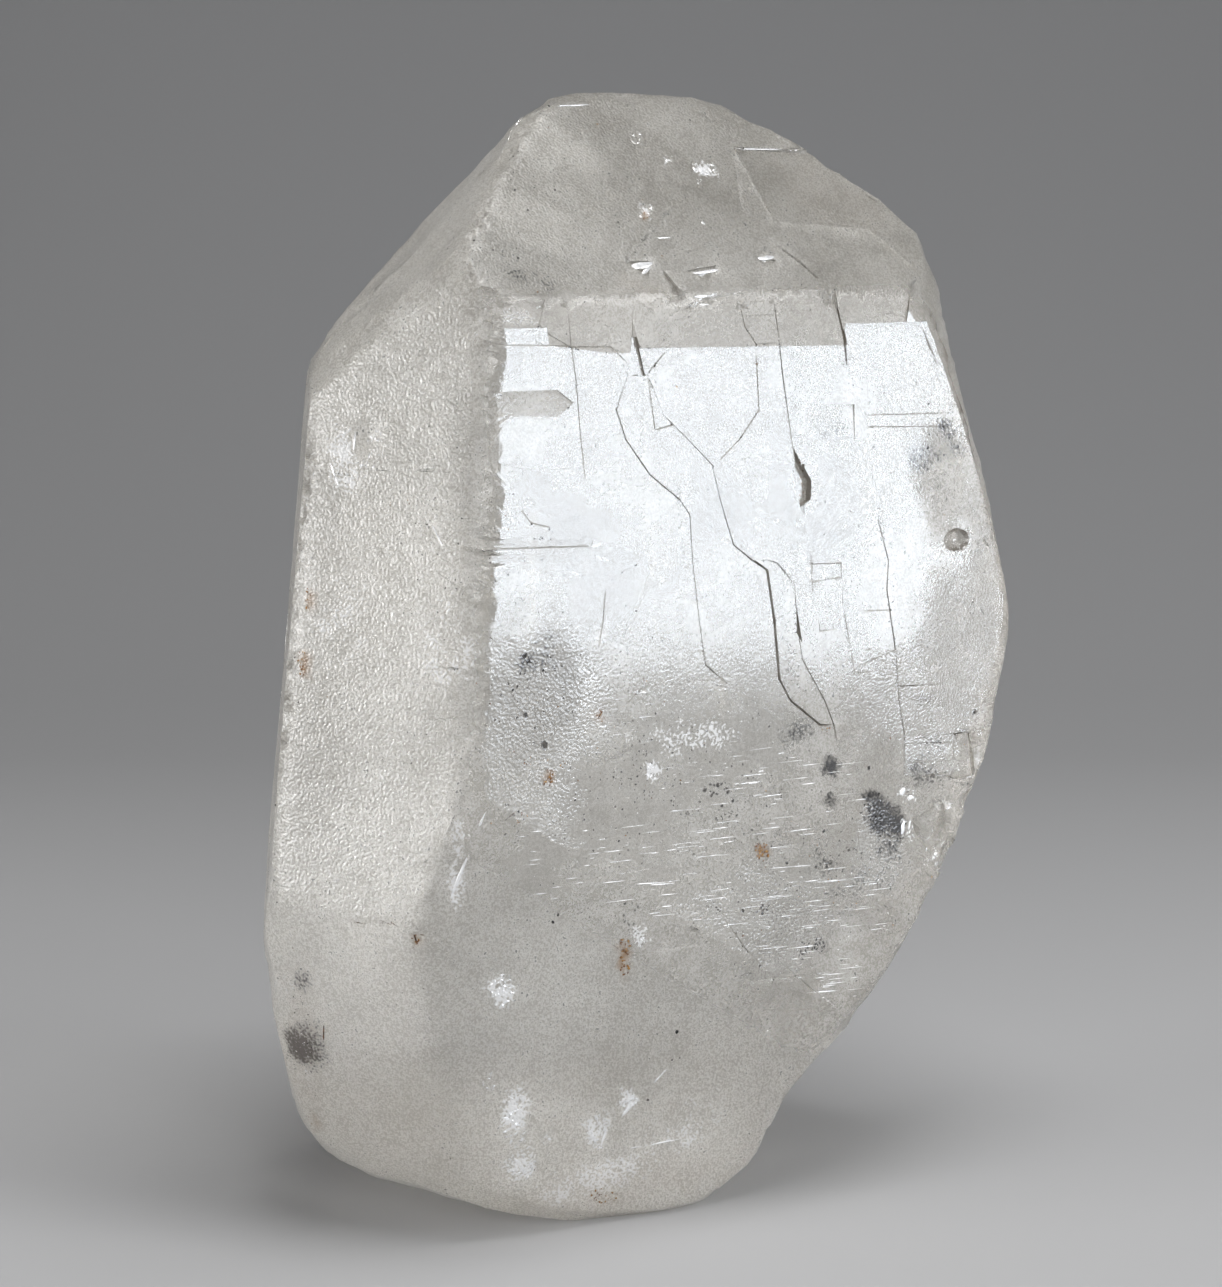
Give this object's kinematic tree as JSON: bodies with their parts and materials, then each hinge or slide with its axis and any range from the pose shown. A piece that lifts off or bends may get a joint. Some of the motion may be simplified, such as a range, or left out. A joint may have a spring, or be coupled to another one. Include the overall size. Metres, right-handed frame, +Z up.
{
  "type": "himalayan quartz crystal",
  "caption": "Palm-size clear to milky quartz crystal with a mirror-bright, cracked prism face, frosted sides, a slanted top and a small flat foot it stands on.",
  "frame": {"origin": "on the ground under the middle of the crystal's bounding box", "axes": "+Z up along the crystal's long axis, -Y towards the viewer, +X to the viewer's right"},
  "size_m": [0.065, 0.056, 0.0949],
  "materials": {
    "quartz": "see-through milky quartz, mirror-bright on the front face, frosted elsewhere"
  },
  "bodies": {
    "root": {"crystal": "quartz"}
  },
  "joints": []
}
